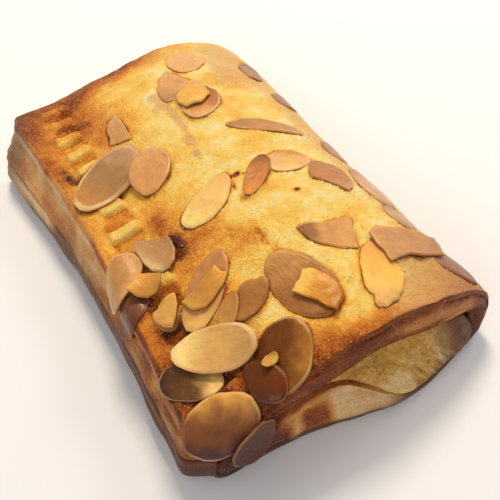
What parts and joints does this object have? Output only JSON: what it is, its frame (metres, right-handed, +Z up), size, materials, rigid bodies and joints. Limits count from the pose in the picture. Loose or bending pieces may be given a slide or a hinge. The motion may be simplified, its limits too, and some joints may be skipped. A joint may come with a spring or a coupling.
{
  "type": "almond paste roll",
  "caption": "Folded puff pastry roll filled with almond paste, open at both ends, pressed shut along one long side and topped with toasted almond slices.",
  "frame": {"origin": "middle of the underside, on the surface that the roll lies on", "axes": "+X points to the folded long side and -X to the pressed one, +Y runs along the roll away from its wider mouth, and +Z is up"},
  "size_m": [0.0917, 0.1419, 0.0321],
  "materials": {
    "baked_puff_pastry": "glazed and browned, half matte",
    "almond_paste": "moist, half matte",
    "toasted_almond": "satin"
  },
  "bodies": {
    "root": {"almond_paste": "almond_paste", "almond_slice_01": "toasted_almond", "almond_slice_02": "toasted_almond", "almond_slice_03": "toasted_almond", "almond_slice_04": "toasted_almond", "almond_slice_05": "toasted_almond", "almond_slice_06": "toasted_almond", "almond_slice_07": "toasted_almond", "almond_slice_08": "toasted_almond", "almond_slice_09": "toasted_almond", "almond_slice_10": "toasted_almond", "almond_slice_11": "toasted_almond", "almond_slice_12": "toasted_almond", "almond_slice_13": "toasted_almond", "almond_slice_14": "toasted_almond", "almond_slice_15": "toasted_almond", "almond_slice_16": "toasted_almond", "almond_slice_17": "toasted_almond", "almond_slice_18": "toasted_almond", "almond_slice_19": "toasted_almond", "almond_slice_20": "toasted_almond", "almond_slice_21": "toasted_almond", "almond_slice_22": "toasted_almond", "almond_slice_23": "toasted_almond", "almond_slice_24": "toasted_almond", "almond_slice_25": "toasted_almond", "almond_slice_26": "toasted_almond", "almond_slice_27": "toasted_almond", "almond_slice_28": "toasted_almond", "almond_slice_29": "toasted_almond", "almond_slice_30": "toasted_almond", "almond_slice_31": "toasted_almond", "almond_slice_32": "toasted_almond", "almond_slice_33": "toasted_almond", "almond_slice_34": "toasted_almond", "almond_slice_35": "toasted_almond", "almond_slice_36": "toasted_almond", "almond_slice_37": "toasted_almond", "almond_slice_38": "toasted_almond", "almond_slice_39": "toasted_almond", "almond_slice_40": "toasted_almond", "pastry": "baked_puff_pastry"}
  },
  "joints": []
}
